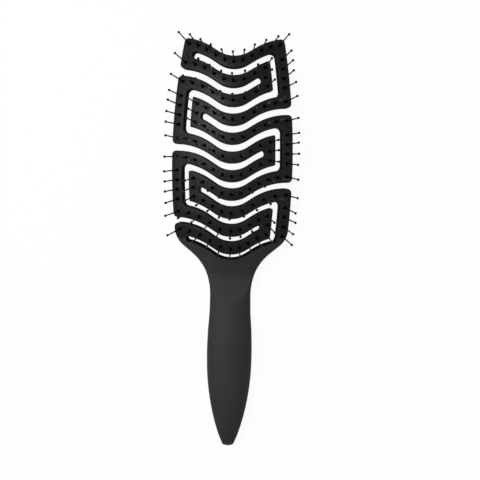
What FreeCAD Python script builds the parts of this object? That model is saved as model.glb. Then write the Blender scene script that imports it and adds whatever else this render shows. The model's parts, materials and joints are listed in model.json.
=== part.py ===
import FreeCAD, Part
import math
import os

# A flexible vented detangling brush, in millimetres.
# +Y runs from the grip to the tip of the head, +Z is the side of the bristles.
# The origin is the middle of the flat on the back of the grip, on which the brush lies.

Vector = FreeCAD.Vector

# Head layout
PAIR_COUNT = 5
RIB_COUNT = 2 * PAIR_COUNT + 1
tip_rib_y = 174.9
first_row_pitch = 11.7
row_pitch_drop = 0.126
rib_height = 7.3
handle_slot = 2.2
bar_width = 6.3
block_width = 6.3
side_slot = 4.0
flex_gap = 0.5
rib_end_x = 30.0

# Wave of the ribs
trough_radius = 17.0
crest_radius = 38.0
wave_slope_deg = 32.5
straight_run = 4.37
wave_reach = 44.0

# Outline of the head
head_half_width = 36.2
widest_y = 116.0
side_radius = 430.0
shoulder_x = 34.9
shoulder_y = 70.1
shoulder_radius = 11.5
throat_x = 11.9
throat_y = 51.2
throat_radius = 30.0
neck_y = 34.0
plate_start_y = 46.0

# Rounded corners of the head
outer_corner_radius = 2.5
slot_turn_radius = 3.0
block_corner_radius = 0.9
slot_end_radius = 1.2
tip_slot_end_radius = 1.9
handle_slot_end_radius = 0.9

# Dome of the head
dome_cross_radius = 75.0
dome_long_radius = 225.0
dome_centre_y = 122.3
dome_cross_half_deg = 42.0
dome_long_half_deg = 25.0
front_thickness = 3.0
cover_gap = 0.1
cover_thickness = 1.5

# Grip
grip_length = 112.0
grip_belly = 55.0
belly_half_width = 13.2
belly_half_thickness = 7.6
belly_centre_z = 7.0
section_points = 20

# Bristle pins
pin_length = 15.5
pin_root_radius = 0.5
pin_neck_radius = 0.4
pin_ball_radius = 0.8
pin_head_radius = 1.3
pin_head_thickness = 0.8
pin_clearance = 0.1
pin_recess_radius = 1.1
pin_recess_depth = 1.2
pin_pitch = 5.9
pin_edge_margin = 3.4
bar_pin_count = 4
bar_pin_pitch = 5.7

# All cutting tools pass this far beyond what they cut
overrun = 2.0

# Grip stations from the butt end: place along the grip, half width, half thickness, height of the
# middle, how far the middle follows the dome, and squareness of the section.
grip_station_shares = [
    (0.003, 0.085, 0.10, 0.93, 0.00, 2.0),
    (0.014, 0.205, 0.22, 0.93, 0.00, 2.0),
    (0.056, 0.386, 0.40, 0.95, 0.00, 2.0),
    (0.110, 0.550, 0.56, 0.98, 0.00, 2.0),
    (0.228, 0.788, 0.82, 1.03, 0.00, 2.1),
    (0.357, 0.947, 0.95, 1.03, 0.00, 2.1),
    (0.491, 1.000, 1.00, 1.00, 0.00, 2.1),
    (0.625, 0.966, 0.90, 0.97, 0.00, 2.1),
    (0.759, 0.898, 0.71, 0.95, 0.00, 2.2),
    (0.848, 0.917, 0.56, 0.97, 0.25, 2.5),
    (0.911, 1.030, 0.42, 1.00, 0.75, 3.2),
    (1.000, 1.250, 0.26, 1.00, 1.00, 4.0),
]

head_thickness = front_thickness + cover_gap + cover_thickness
wave_slope = math.radians(wave_slope_deg)
trough_end_x = trough_radius * math.sin(wave_slope)
crest_start_x = trough_end_x + straight_run
crest_x = crest_start_x + crest_radius * math.sin(wave_slope)
crest_start_rise = trough_radius * (1 - math.cos(wave_slope)) + straight_run * math.tan(wave_slope)


def wave_rise(x):
    """Rise of the rib wave above its trough at a distance x from the middle."""
    x = abs(x)
    if x <= trough_end_x:
        return trough_radius - math.sqrt(trough_radius ** 2 - x ** 2)
    if x <= crest_start_x:
        return crest_start_rise - (crest_start_x - x) * math.tan(wave_slope)
    crest_height = math.sqrt(crest_radius ** 2 - (crest_x - x) ** 2)
    return crest_start_rise + crest_height - crest_radius * math.cos(wave_slope)


def half_width(y):
    """Half width of the head's outline at y."""
    return head_half_width - side_radius + math.sqrt(side_radius ** 2 - (y - widest_y) ** 2)


def rib_y(rib):
    """Trough of a rib's centre line, ribs counted from 1 at the tip."""
    steps = rib - 1
    return tip_rib_y - steps * first_row_pitch + row_pitch_drop * steps * (steps - 1) / 2


def rib_top(rib):
    return rib_y(rib) + rib_height / 2


def rib_bottom(rib):
    return rib_y(rib) - rib_height / 2


handle_edge_y = rib_bottom(RIB_COUNT) - handle_slot


def flex_line_y(line):
    """Height at the sides of the line where the frame bends, in the slot above each pair of ribs."""
    upper = rib_bottom(2 * line - 1)
    lower = handle_edge_y if line > PAIR_COUNT else rib_top(2 * line)
    middle = (upper + lower) / 2
    strip_x = half_width(middle + wave_rise(crest_start_x)) - bar_width
    return middle + wave_rise(strip_x)


def block_side(pair):
    """Side of the closed turn of a pair of ribs: +1 right, -1 left."""
    return 1 if pair % 2 else -1


# Height of the dome: the back edges at the tip's corners lie on the same plane as the grip's flat
tip_corner_y = rib_top(1) + wave_rise(rib_end_x)
tip_corner_x = half_width(tip_corner_y)
back_cross_radius = dome_cross_radius - head_thickness
back_ring = dome_long_radius - dome_cross_radius + math.sqrt(back_cross_radius ** 2 - tip_corner_x ** 2)
dome_axis_z = -math.sqrt(back_ring ** 2 - (tip_corner_y - dome_centre_y) ** 2)
dome_top_z = dome_axis_z + dome_long_radius


def dome_point(x, y):
    """Point of the head's front surface over (x, y)."""
    ring = dome_long_radius - dome_cross_radius + math.sqrt(dome_cross_radius ** 2 - x ** 2)
    return Vector(x, y, dome_axis_z + math.sqrt(ring ** 2 - (y - dome_centre_y) ** 2))


def dome_normal(x, y):
    """Outward direction of the head's front surface over (x, y)."""
    cross_z = math.sqrt(dome_cross_radius ** 2 - x ** 2)
    ring = dome_long_radius - dome_cross_radius + cross_z
    along = (y - dome_centre_y) / ring
    cross = cross_z / dome_cross_radius
    return Vector(x / dome_cross_radius, cross * along, cross * math.sqrt(1 - along ** 2))


prism_bottom = -overrun
prism_height = dome_top_z + 2 * overrun


def prism(edges):
    """Upright prism over a closed outline."""
    face = Part.Face(Part.Wire(edges))
    face.translate(Vector(0, 0, prism_bottom))
    return face.extrude(Vector(0, 0, prism_height))


def line(start, end):
    return Part.LineSegment(start, end).toShape()


def polygon_edges(points):
    ends = points[1:] + points[:1]
    return [line(a, b) for a, b in zip(points, ends)]


def wave_edges(trough_y):
    """Wave from left to right with its trough at trough_y."""
    def at(x):
        return Vector(x, trough_y + wave_rise(x), 0)

    def arc(start_x, end_x):
        return Part.Arc(at(start_x), at((start_x + end_x) / 2), at(end_x)).toShape()

    left_crest = arc(-wave_reach, -crest_start_x)
    left_run = line(at(-crest_start_x), at(-trough_end_x))
    trough = arc(-trough_end_x, trough_end_x)
    right_run = line(at(trough_end_x), at(crest_start_x))
    right_crest = arc(crest_start_x, wave_reach)
    return [left_crest, left_run, trough, right_run, right_crest]


def band(lower, upper):
    """Prism between two waves."""
    rise = wave_rise(wave_reach)
    right = line(Vector(wave_reach, lower + rise, 0), Vector(wave_reach, upper + rise, 0))
    left = line(Vector(-wave_reach, upper + rise, 0), Vector(-wave_reach, lower + rise, 0))
    return prism(wave_edges(lower) + [right] + wave_edges(upper)[::-1] + [left])


head_low_y = neck_y
head_high_y = tip_corner_y + 2 * overrun


def within(left_inset, right_inset):
    """Prism of the head's outline drawn in from its left and right sides."""
    def side(sign, inset):
        radius = side_radius - inset
        centre_x = sign * (head_half_width - side_radius)

        def at(y):
            return Vector(centre_x + sign * math.sqrt(radius ** 2 - (y - widest_y) ** 2), y, 0)

        return at(head_low_y), at(widest_y), at(head_high_y)

    right_low, right_mid, right_high = side(1, right_inset)
    left_low, left_mid, left_high = side(-1, left_inset)
    return prism([
        line(left_low, right_low),
        Part.Arc(right_low, right_mid, right_high).toShape(),
        line(right_high, left_high),
        Part.Arc(left_high, left_mid, left_low).toShape(),
    ])


def slab(low_y, high_y, left_x, right_x):
    """Rectangular prism."""
    corners = [(left_x, low_y), (right_x, low_y), (right_x, high_y), (left_x, high_y)]
    return prism(polygon_edges([Vector(x, y, 0) for x, y in corners]))


def upright_edges(solid, chosen):
    """Upright corner edges of a prism for which chosen(x, y) is true."""
    found = []
    for edge in solid.Edges:
        start = edge.Vertexes[0].Point
        end = edge.Vertexes[-1].Point
        if abs(start.z - end.z) < prism_height / 2:
            continue
        if chosen(start.x, start.y):
            found.append(edge)
    return found


def near(a, b):
    return abs(a - b) < pin_clearance


def side_depth(x, y):
    """Distance in from the side of the outline."""
    centre_x = head_half_width - side_radius
    return side_radius - math.hypot(abs(x) - centre_x, y - widest_y)


block_outer_depth = bar_width + side_slot
block_inner_depth = block_outer_depth + block_width


def one_sided(side, inset):
    """Outline drawn in on one side and open past the other."""
    return within(-overrun, inset) if side > 0 else within(inset, -overrun)


def closed_end_radius(x, y):
    """Radius of the slot corners at the two blind ends of the maze, or none elsewhere."""
    first_turn = block_side(1) * x < 0 and y > rib_y(2) + wave_rise(x)
    last_turn = block_side(PAIR_COUNT) * x < 0 and y < rib_y(RIB_COUNT) + wave_rise(x)
    if first_turn:
        return tip_slot_end_radius
    if last_turn:
        return handle_slot_end_radius
    return None


def corner_radius(x, y):
    """Radius of an upright corner of the frame, by where it is."""
    depth = side_depth(x, y)
    if y < handle_edge_y:
        return None
    if near(depth, 0):
        at_root = y < rib_y(RIB_COUNT) + wave_rise(x)
        return shoulder_radius if at_root else outer_corner_radius
    if near(depth, bar_width):
        return closed_end_radius(x, y) or slot_turn_radius
    if near(depth, block_outer_depth):
        return block_corner_radius
    if near(depth, block_inner_depth):
        return slot_end_radius
    return None


def flare_prism():
    """Outline of the root, from the neck through the rounded throat to the shoulders."""
    top_y = tip_corner_y + overrun
    wide_x = head_half_width + overrun
    shoulder_slope = (shoulder_x - throat_x) / (shoulder_y - throat_y)
    wide_y = shoulder_y + (wide_x - shoulder_x) / shoulder_slope
    right = [(throat_x, neck_y), (throat_x, throat_y), (wide_x, wide_y), (wide_x, top_y)]
    left = [(-x, y) for x, y in reversed(right)]
    flare = prism(polygon_edges([Vector(x, y, 0) for x, y in right + left]))
    throat = upright_edges(flare, lambda x, y: near(y, throat_y))
    return flare.makeFillet(throat_radius, throat)


def maze_slot():
    """The one winding slot inside the frame, round the pairs of ribs."""
    maze = band(handle_edge_y, rib_bottom(1)).common(within(bar_width, bar_width))
    for pair in range(1, PAIR_COUNT + 1):
        block = band(rib_bottom(2 * pair + 1), rib_top(2 * pair))
        maze = maze.cut(block.common(one_sided(block_side(pair), block_outer_depth)))
    return maze


def frame_prism():
    """Whole outline of the head and its root, with slots and rounded corners, before it is domed."""
    frame = flare_prism().common(within(0, 0))
    frame = frame.common(band(neck_y - wave_rise(wave_reach), rib_top(1)))
    frame = frame.cut(maze_slot())
    for pair in range(1, PAIR_COUNT + 1):
        slot = band(rib_top(2 * pair + 1), rib_bottom(2 * pair))
        frame = frame.cut(slot.common(one_sided(block_side(pair), block_inner_depth)))
    corners = {}
    for edge in upright_edges(frame, corner_radius):
        point = edge.Vertexes[0].Point
        corners.setdefault(corner_radius(point.x, point.y), []).append(point)
    for radius, points in sorted(corners.items()):
        def is_corner(x, y):
            return any(near(point.x, x) and near(point.y, y) for point in points)

        frame = frame.makeFillet(radius, upright_edges(frame, is_corner))
    return frame


def flex_cuts():
    """Thin cuts through the edge strip at the lines where the frame bends."""
    cuts = []
    for number in range(1, PAIR_COUNT + 2):
        y = flex_line_y(number)
        inner_x = half_width(y) - bar_width - slot_turn_radius / 2
        low_y, high_y = y - flex_gap / 2, y + flex_gap / 2
        cuts.append(slab(low_y, high_y, inner_x, wave_reach))
        cuts.append(slab(low_y, high_y, -wave_reach, -inner_x))
    return cuts


def piece_at(solids, x, y):
    """The piece of the divided frame that lies over (x, y)."""
    probe = Vector(x, y, prism_bottom + prism_height / 2)
    return [solid for solid in solids if solid.isInside(probe, pin_clearance, True)][0]


def dome_layer(outer_depth, inner_depth):
    """Curved layer of the head between two depths below its front surface."""
    centre = Vector(0, dome_centre_y, dome_top_z - dome_cross_radius)
    half_turn = math.radians(dome_cross_half_deg)

    def at(radius, angle):
        return centre + Vector(radius * math.sin(angle), 0, radius * math.cos(angle))

    def arc(radius, sign):
        ends = at(radius, -sign * half_turn), at(radius, sign * half_turn)
        return Part.Arc(ends[0], at(radius, 0), ends[1]).toShape()

    outer = dome_cross_radius - outer_depth
    inner = dome_cross_radius - inner_depth
    edges = [
        arc(outer, 1),
        line(at(outer, half_turn), at(inner, half_turn)),
        arc(inner, -1),
        line(at(inner, -half_turn), at(outer, -half_turn)),
    ]
    section = Part.Face(Part.Wire(edges))
    axis_point = Vector(0, dome_centre_y, dome_axis_z)
    section.rotate(axis_point, Vector(1, 0, 0), -dome_long_half_deg)
    return section.revolve(axis_point, Vector(1, 0, 0), 2 * dome_long_half_deg)


def turned(points, ball=None):
    """Solid turned about Z from (radius, height) points, closed along the axis."""
    vectors = [Vector(radius, 0, height) for radius, height in points]
    edges = [line(a, b) for a, b in zip(vectors, vectors[1:])]
    if ball:
        through, end = [Vector(radius, 0, height) for radius, height in ball]
        edges.append(Part.Arc(vectors[-1], through, end).toShape())
        vectors.append(end)
    edges.append(line(vectors[-1], vectors[0]))
    return Part.Face(Part.Wire(edges)).revolve(Vector(0, 0, 0), Vector(0, 0, 1), 360)


def bristle_pin():
    """Pin with a flat head under the front frame and a ball at its tip."""
    ball_z = pin_length - pin_ball_radius
    neck_z = ball_z - math.sqrt(pin_ball_radius ** 2 - pin_neck_radius ** 2)
    head_top = pin_head_thickness - front_thickness
    points = [
        (0, -front_thickness),
        (pin_head_radius, -front_thickness),
        (pin_head_radius, head_top),
        (pin_root_radius, head_top),
        (pin_neck_radius, neck_z),
    ]
    return turned(points, [(pin_ball_radius, ball_z), (0, pin_length)])


def pin_hole():
    """Tool for a pin's hole: counterbore for the head, bore, and a flared recess in front."""
    bore = pin_root_radius + pin_clearance
    head = pin_head_radius + pin_clearance
    floor = pin_head_thickness + pin_clearance - front_thickness
    points = [
        (0, -front_thickness - cover_gap),
        (head, -front_thickness - cover_gap),
        (head, floor),
        (bore, floor),
        (bore, -pin_recess_depth),
        (pin_recess_radius, 0),
        (pin_recess_radius, overrun),
        (0, overrun),
    ]
    return turned(points)


def placed(shape, x, y):
    """Copy of a turned shape standing on the dome over (x, y)."""
    turn = FreeCAD.Rotation(Vector(0, 0, 1), dome_normal(x, y))
    copy = shape.copy()
    copy.Placement = FreeCAD.Placement(dome_point(x, y), turn)
    return copy


def edge_pin_x(rib, side):
    """Place of a rib's last pin on one side: at the edge, or in the closed turn of its pair."""
    edge_y = rib_y(rib) + wave_rise(rib_end_x)
    turn_side = block_side(rib // 2) if rib > 1 else 0
    if turn_side == side:
        return half_width(edge_y) - bar_width - side_slot - block_width / 2
    return half_width(edge_y) - pin_edge_margin


def rib_pins(rib):
    """Places of the pins along a rib, evenly spaced on each side of the middle."""
    places = [(0, rib_y(rib))]
    for side in (-1, 1):
        last_x = edge_pin_x(rib, side)
        count = round(last_x / pin_pitch)
        for step in range(1, count + 1):
            x = side * last_x * step / count
            places.append((x, rib_y(rib) + wave_rise(x)))
    if rib > 1 and rib % 2 == 0:
        side = block_side(rib // 2)
        x = side * edge_pin_x(rib, side)
        places.append((x, (rib_y(rib) + rib_y(rib + 1)) / 2 + wave_rise(x)))
    return places


def bar_pins(pair):
    """Places of the pins along an edge bar."""
    middle_y = (flex_line_y(pair) + flex_line_y(pair + 1)) / 2
    places = []
    for step in range(bar_pin_count):
        y = middle_y + bar_pin_pitch * (step - (bar_pin_count - 1) / 2)
        places.append((block_side(pair) * (half_width(y) - pin_edge_margin), y))
    return places


def grip_section(station):
    """Closed section of the grip, bent with the dome where it meets the head."""
    place, width, thickness, middle, dome_follow, squareness = station
    y = grip_length * place - grip_belly
    half_x = belly_half_width * width
    half_z = belly_half_thickness * thickness
    dome_middle = dome_point(0, y).z - head_thickness / 2
    centre_z = belly_centre_z * middle * (1 - dome_follow) + dome_middle * dome_follow
    points = []
    for step in range(section_points):
        angle = 2 * math.pi * step / section_points
        across = math.copysign(abs(math.cos(angle)) ** (2 / squareness), math.cos(angle))
        upward = math.copysign(abs(math.sin(angle)) ** (2 / squareness), math.sin(angle))
        x = half_x * across
        sag = dome_follow * x ** 2 / (2 * dome_cross_radius)
        points.append(Vector(x, y, centre_z + half_z * upward - sag))
    curve = Part.BSplineCurve()
    curve.interpolate(points, PeriodicFlag=True)
    return Part.Wire(curve.toShape())


def handle(root_prism):
    """Solid grip that spreads into the root of the head, cut flat where it lies on a table."""
    grip = Part.makeLoft([grip_section(station) for station in grip_station_shares], True)
    under = slab(-grip_belly - overrun, grip_length, -belly_half_width, belly_half_width)
    under.translate(Vector(0, 0, -prism_height - prism_bottom))
    grip = grip.cut(under)
    plate = slab(plate_start_y, tip_corner_y, -wave_reach, wave_reach)
    root = root_prism.common(plate).common(dome_layer(0, head_thickness))
    return grip.fuse(root).removeSplitter()


def frame_pieces():
    """Outline prism and pin places of each piece of the divided frame."""
    solids = frame_prism().cut(flex_cuts()).Solids
    print("frame divides into", len(solids), "pieces")
    pieces = {"tip": (piece_at(solids, 0, rib_y(1)), rib_pins(1))}
    for pair in range(1, PAIR_COUNT + 1):
        ribs = piece_at(solids, 0, rib_y(2 * pair))
        pieces["pair_%d" % pair] = (ribs, rib_pins(2 * pair) + rib_pins(2 * pair + 1))
        bar_x, bar_y = bar_pins(pair)[0]
        pieces["bar_%d" % pair] = (piece_at(solids, bar_x, bar_y), bar_pins(pair))
    return piece_at(solids, 0, (plate_start_y + handle_edge_y) / 2), pieces


def pin_group(pin, places):
    return Part.makeCompound([placed(pin, x, y) for x, y in places])


def main():
    os.makedirs("parts", exist_ok=True)
    root_prism, pieces = frame_pieces()
    front_layer = dome_layer(0, front_thickness)
    cover_layer = dome_layer(front_thickness + cover_gap, head_thickness)
    pin, hole = bristle_pin(), pin_hole()
    nodes = {"handle": handle(root_prism)}
    for name, (outline_prism, places) in pieces.items():
        front = outline_prism.common(front_layer)
        nodes["front_frame_" + name] = front.cut([placed(hole, x, y) for x, y in places])
        nodes["back_cover_" + name] = outline_prism.common(cover_layer)
    for pair in range(1, PAIR_COUNT + 1):
        nodes["bristles_bar_%d" % pair] = pin_group(pin, bar_pins(pair))
    for rib in range(1, RIB_COUNT + 1):
        nodes["bristles_rib_%02d" % rib] = pin_group(pin, rib_pins(rib))
    for name, shape in sorted(nodes.items()):
        shape.exportStep("parts/%s.step" % name)
        print(name, len(shape.Solids), "solids", round(shape.Volume, 1), "mm3", shape.isValid())
    print("dome top", round(dome_top_z, 2))
    print("flex lines", [round(flex_line_y(number), 2) for number in range(1, PAIR_COUNT + 2)])


main()
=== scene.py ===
# %% [markdown]
# # A flexible detangling brush
# The brush is a smooth solid grip, a thin domed head cut into wavy ribs by one winding slot and five
# open ones, and a separate ball-tipped pin in every hole of the ribs. All lengths below are in
# millimetres, and become metres only where a mesh is made. The imported model gives the frame: what
# is made here lies where its pieces lie, and the tip and the pins move with them.

# %% Load the frame
import json
import math
import random

import bmesh
import bpy
import numpy as np
from mathutils import Matrix, Vector
from mathutils.geometry import delaunay_2d_cdt


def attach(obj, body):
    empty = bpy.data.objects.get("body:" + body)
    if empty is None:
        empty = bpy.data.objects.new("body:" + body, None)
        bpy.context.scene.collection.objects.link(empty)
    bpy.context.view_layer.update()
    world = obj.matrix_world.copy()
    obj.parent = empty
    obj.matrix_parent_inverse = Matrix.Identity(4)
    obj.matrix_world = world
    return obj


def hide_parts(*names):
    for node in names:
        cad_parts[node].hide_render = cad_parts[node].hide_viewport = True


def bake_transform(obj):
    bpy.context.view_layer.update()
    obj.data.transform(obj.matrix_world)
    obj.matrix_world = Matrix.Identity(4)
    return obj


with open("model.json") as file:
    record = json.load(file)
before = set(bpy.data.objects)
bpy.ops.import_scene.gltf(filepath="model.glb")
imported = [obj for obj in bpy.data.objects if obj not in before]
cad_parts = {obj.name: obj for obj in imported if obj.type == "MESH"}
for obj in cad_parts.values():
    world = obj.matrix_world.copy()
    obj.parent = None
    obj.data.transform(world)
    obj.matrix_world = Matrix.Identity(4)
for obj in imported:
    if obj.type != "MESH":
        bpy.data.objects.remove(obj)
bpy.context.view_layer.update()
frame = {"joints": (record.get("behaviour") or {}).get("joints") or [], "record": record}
MM = 0.001

# %% [markdown]
# ## Layout of the head
# Every edge of every rib is the same wave moved along the brush: an arc at the trough, a short
# straight run and a flatter arc at the crest. The sides are two long arcs. With these few formulas
# each outline is worked out and never drawn point by point.

# %% Wave, sides and rows
PAIRS = range(1, 6)
LAST_RIB = 11
TIP_RIB_Y = 174.9
FIRST_ROW_PITCH = 11.7
ROW_PITCH_DROP = 0.126
RIB_HEIGHT = 7.3
HANDLE_SLOT = 2.6
BAR_WIDTH = 6.3
BLOCK_WIDTH = 6.3
SIDE_SLOT = 4.0
BLOCK_OUTER = BAR_WIDTH + SIDE_SLOT
BLOCK_INNER = BLOCK_OUTER + BLOCK_WIDTH
TROUGH_RADIUS = 17.0
CREST_RADIUS = 38.0
WAVE_SLOPE = math.radians(32.5)
STRAIGHT_RUN = 4.37
HEAD_HALF_WIDTH = 36.2
WIDEST_Y = 116.0
SIDE_RADIUS = 430.0
RIB_END_X = 30.0

TROUGH_END_X = TROUGH_RADIUS * math.sin(WAVE_SLOPE)
CREST_START_X = TROUGH_END_X + STRAIGHT_RUN
CREST_X = CREST_START_X + CREST_RADIUS * math.sin(WAVE_SLOPE)
CREST_START_RISE = TROUGH_RADIUS * (1 - math.cos(WAVE_SLOPE)) + STRAIGHT_RUN * math.tan(WAVE_SLOPE)


def wave_rise(x):
    """Rise of a rib's wave above its trough."""
    x = abs(x)
    if x <= TROUGH_END_X:
        return TROUGH_RADIUS - math.sqrt(TROUGH_RADIUS ** 2 - x ** 2)
    if x <= CREST_START_X:
        return CREST_START_RISE - (CREST_START_X - x) * math.tan(WAVE_SLOPE)
    height = math.sqrt(CREST_RADIUS ** 2 - (CREST_X - x) ** 2)
    return CREST_START_RISE + height - CREST_RADIUS * math.cos(WAVE_SLOPE)


def side_x(y, inset=0.0):
    """Distance from the middle to the side line drawn in by inset."""
    radius = SIDE_RADIUS - inset
    return HEAD_HALF_WIDTH - SIDE_RADIUS + math.sqrt(radius ** 2 - (y - WIDEST_Y) ** 2)


def rib_y(rib):
    steps = rib - 1
    return TIP_RIB_Y - steps * FIRST_ROW_PITCH + ROW_PITCH_DROP * steps * (steps - 1) / 2


def rib_top(rib):
    return rib_y(rib) + RIB_HEIGHT / 2


def rib_bottom(rib):
    return rib_y(rib) - RIB_HEIGHT / 2


def block_side(pair):
    """Side of a pair's closed turn: +1 right, -1 left."""
    return 1 if pair % 2 else -1


HANDLE_EDGE_Y = rib_bottom(LAST_RIB) - HANDLE_SLOT
flex_y = {joint["name"]: joint["pos_m"][1] / MM for joint in frame["joints"]}
print("bending lines, mm:", {name: round(y, 2) for name, y in flex_y.items()})

# %% [markdown]
# ## The dome
# The head is bent both ways like a piece of a tyre: a tight curve across and a gentle one along the
# brush. A point of the head is given by its place in plan and its depth below the front surface, and
# depth is measured square to that surface, so slot walls and pins lean outwards as on the real head.

# %% Dome
DOME_CROSS_RADIUS = 75.0
DOME_LONG_RADIUS = 225.0
DOME_CENTRE_Y = 122.3
FRONT_THICKNESS = 3.0
COVER_GAP = 0.1
COVER_THICKNESS = 1.5
HEAD_THICKNESS = FRONT_THICKNESS + COVER_GAP + COVER_THICKNESS

tip_corner_y = rib_top(1) + wave_rise(RIB_END_X)
back_cross = DOME_CROSS_RADIUS - HEAD_THICKNESS
back_edge_z = math.sqrt(back_cross ** 2 - side_x(tip_corner_y) ** 2)
back_ring = DOME_LONG_RADIUS - DOME_CROSS_RADIUS + back_edge_z
DOME_AXIS_Z = -math.sqrt(back_ring ** 2 - (tip_corner_y - DOME_CENTRE_Y) ** 2)


def dome(x, y):
    """Front point over (x, y) and the outward direction there."""
    cross_z = math.sqrt(DOME_CROSS_RADIUS ** 2 - x ** 2)
    ring = DOME_LONG_RADIUS - DOME_CROSS_RADIUS + cross_z
    along = (y - DOME_CENTRE_Y) / ring
    level = math.sqrt(1 - along ** 2)
    cross = cross_z / DOME_CROSS_RADIUS
    normal = Vector((x / DOME_CROSS_RADIUS, cross * along, cross * level))
    return Vector((x, y, DOME_AXIS_Z + ring * level)), normal


def on_head(x, y, depth):
    point, normal = dome(x, y)
    return (point - normal * depth) * MM


print("dome top, mm:", round(dome(0, DOME_CENTRE_Y)[0].z, 2))

# %% [markdown]
# ## Outlines with rounded corners
# An outline is a chain of short paths along waves and sides. Each corner has a radius: the paths are
# trimmed back by the tangent length and a curve is laid between them, as a pattern maker would file
# the corner of a template. A bevel modifier could round the corners of a finished plate too, but the
# steps that follow need the outline as plain points.

# %% Paths
STEP = 0.7
CROSSING_ROUNDS = 30


def wave_path(trough_y, x_from, x_to):
    count = max(2, round(abs(x_to - x_from) / STEP))
    return [(x, trough_y + wave_rise(x)) for x in np.linspace(x_from, x_to, count + 1)]


def side_path(side, inset, y_from, y_to):
    count = max(1, round(abs(y_to - y_from) / STEP))
    return [(side * side_x(y, inset), y) for y in np.linspace(y_from, y_to, count + 1)]


def meet(trough_y, side, inset):
    """Where a wave crosses a side line."""
    x = side * (HEAD_HALF_WIDTH - inset)
    for _ in range(CROSSING_ROUNDS):
        y = trough_y + wave_rise(x)
        x = side * side_x(y, inset)
    return x, y


def run_lengths(points):
    """Length of a path from its start to each of its points."""
    return np.concatenate([[0], np.cumsum(np.linalg.norm(np.diff(points, axis=0), axis=1))])


def points_at(points, lengths, places):
    """Points of a path at given lengths from its start."""
    return np.stack([np.interp(places, lengths, points[:, axis]) for axis in (0, 1)], axis=1)


print("points along the upper edge of the tip:", len(wave_path(rib_top(1), -RIB_END_X, RIB_END_X)))

# %% Rounded corners
ARC_STEP = 0.35
NEAREST = 0.2


def trimmed(path, start, end):
    """Path without its first start and last end millimetres."""
    points = np.array(path)
    lengths = run_lengths(points)
    stop = lengths[-1] - end
    between = (lengths > start + NEAREST) & (lengths < stop - NEAREST)
    return points_at(points, lengths, np.concatenate([[start], lengths[between], [stop]]))


def heading(a, b):
    step = np.array(b) - np.array(a)
    return step / np.linalg.norm(step)


def turn_angle(into, out):
    return math.acos(max(-1, min(1, float(into @ out))))


def corner_curve(start, end, into, out, radius):
    """Round corner from start to end, tangent to both paths: one Bezier curve close to an arc."""
    turn = turn_angle(into, out)
    reach = 4 / 3 * math.tan(turn / 4) * radius
    count = max(3, math.ceil(radius * turn / ARC_STEP))
    t = np.linspace(0, 1, count + 1)[1:-1, None]
    a, b = start + into * reach, end - out * reach
    return start * (1 - t) ** 3 + 3 * a * t * (1 - t) ** 2 + 3 * b * t ** 2 * (1 - t) + end * t ** 3


def rounded_chain(paths, radii, closed=True):
    """One chain of points from paths that meet at corners of the given radii."""
    count = len(paths)
    turns, trims = [], []
    for i in range(count):
        into = heading(paths[i][-2], paths[i][-1])
        out = heading(*paths[(i + 1) % count][:2])
        turns.append((into, out))
        trims.append(radii[i] * math.tan(turn_angle(into, out) / 2))
    if not closed:
        trims[-1] = 0
    cut = [trimmed(paths[i], trims[i - 1], trims[i]) for i in range(count)]
    chain = []
    for i in range(count):
        has_corner = radii[i] and (closed or i < count - 1)
        chain.extend(cut[i] if has_corner else cut[i][:-1])
        if has_corner:
            after = cut[(i + 1) % count][0]
            chain.extend(corner_curve(cut[i][-1], after, *turns[i], radii[i]))
    if not closed:
        chain.append(cut[-1][-1])
    return np.array(chain)


print("longest step round a corner, mm:", ARC_STEP)

# %% [markdown]
# ## The outer outline and the maze
# Walking round the outside of the head leads into five open slots, and walking round the inside
# follows one closed slot that winds between the pairs of ribs. Both walks go down the right side and
# up the left, with a detour at every pair of ribs that turns back on the far side, so one function
# serves both. Two chains then describe the whole head, and no slot has to be cut with a Boolean.

# %% Outer outline
OUTER_CORNER = 2.6
SLOT_END = 1.5
THROAT_X = 12.15
THROAT_Y = 51.6
THROAT_RADIUS = 31.0
SHOULDER_RADIUS = 14.0
SHOULDER_ROUNDS = 40
FLARE_END_X = 34.9
FLARE_END_Y = 70.1
FLARE_RUN = FLARE_END_X - THROAT_X
FLARE_RISE = FLARE_END_Y - THROAT_Y


def walk(side, y, inset, turn_inset, edges_of, corners):
    """Paths and radii along one side of the head from y on, and the y where the walk ends."""
    pairs = [pair for pair in PAIRS[::side] if block_side(pair) != side]
    paths = []
    for pair in pairs:
        edges = edges_of(pair)[::side]
        mouths = [meet(edge, side, inset) for edge in edges]
        turns = [meet(edge, -side, turn_inset) for edge in edges]
        paths += [
            side_path(side, inset, y, mouths[0][1]),
            wave_path(edges[0], mouths[0][0], turns[0][0]),
            side_path(-side, turn_inset, turns[0][1], turns[1][1]),
            wave_path(edges[1], turns[1][0], mouths[1][0]),
        ]
        y = mouths[1][1]
    return paths, corners * len(pairs), y


def shoulder_meet():
    """Where the straight flare of the root reaches the side line."""
    share = 1.0
    for _ in range(SHOULDER_ROUNDS):
        y = THROAT_Y + FLARE_RISE * share
        share = (side_x(y) - THROAT_X) / FLARE_RUN
    return THROAT_X + FLARE_RUN * share, y


def open_slot_edges(pair):
    return [rib_bottom(2 * pair), rib_top(2 * pair + 1)]


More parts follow.
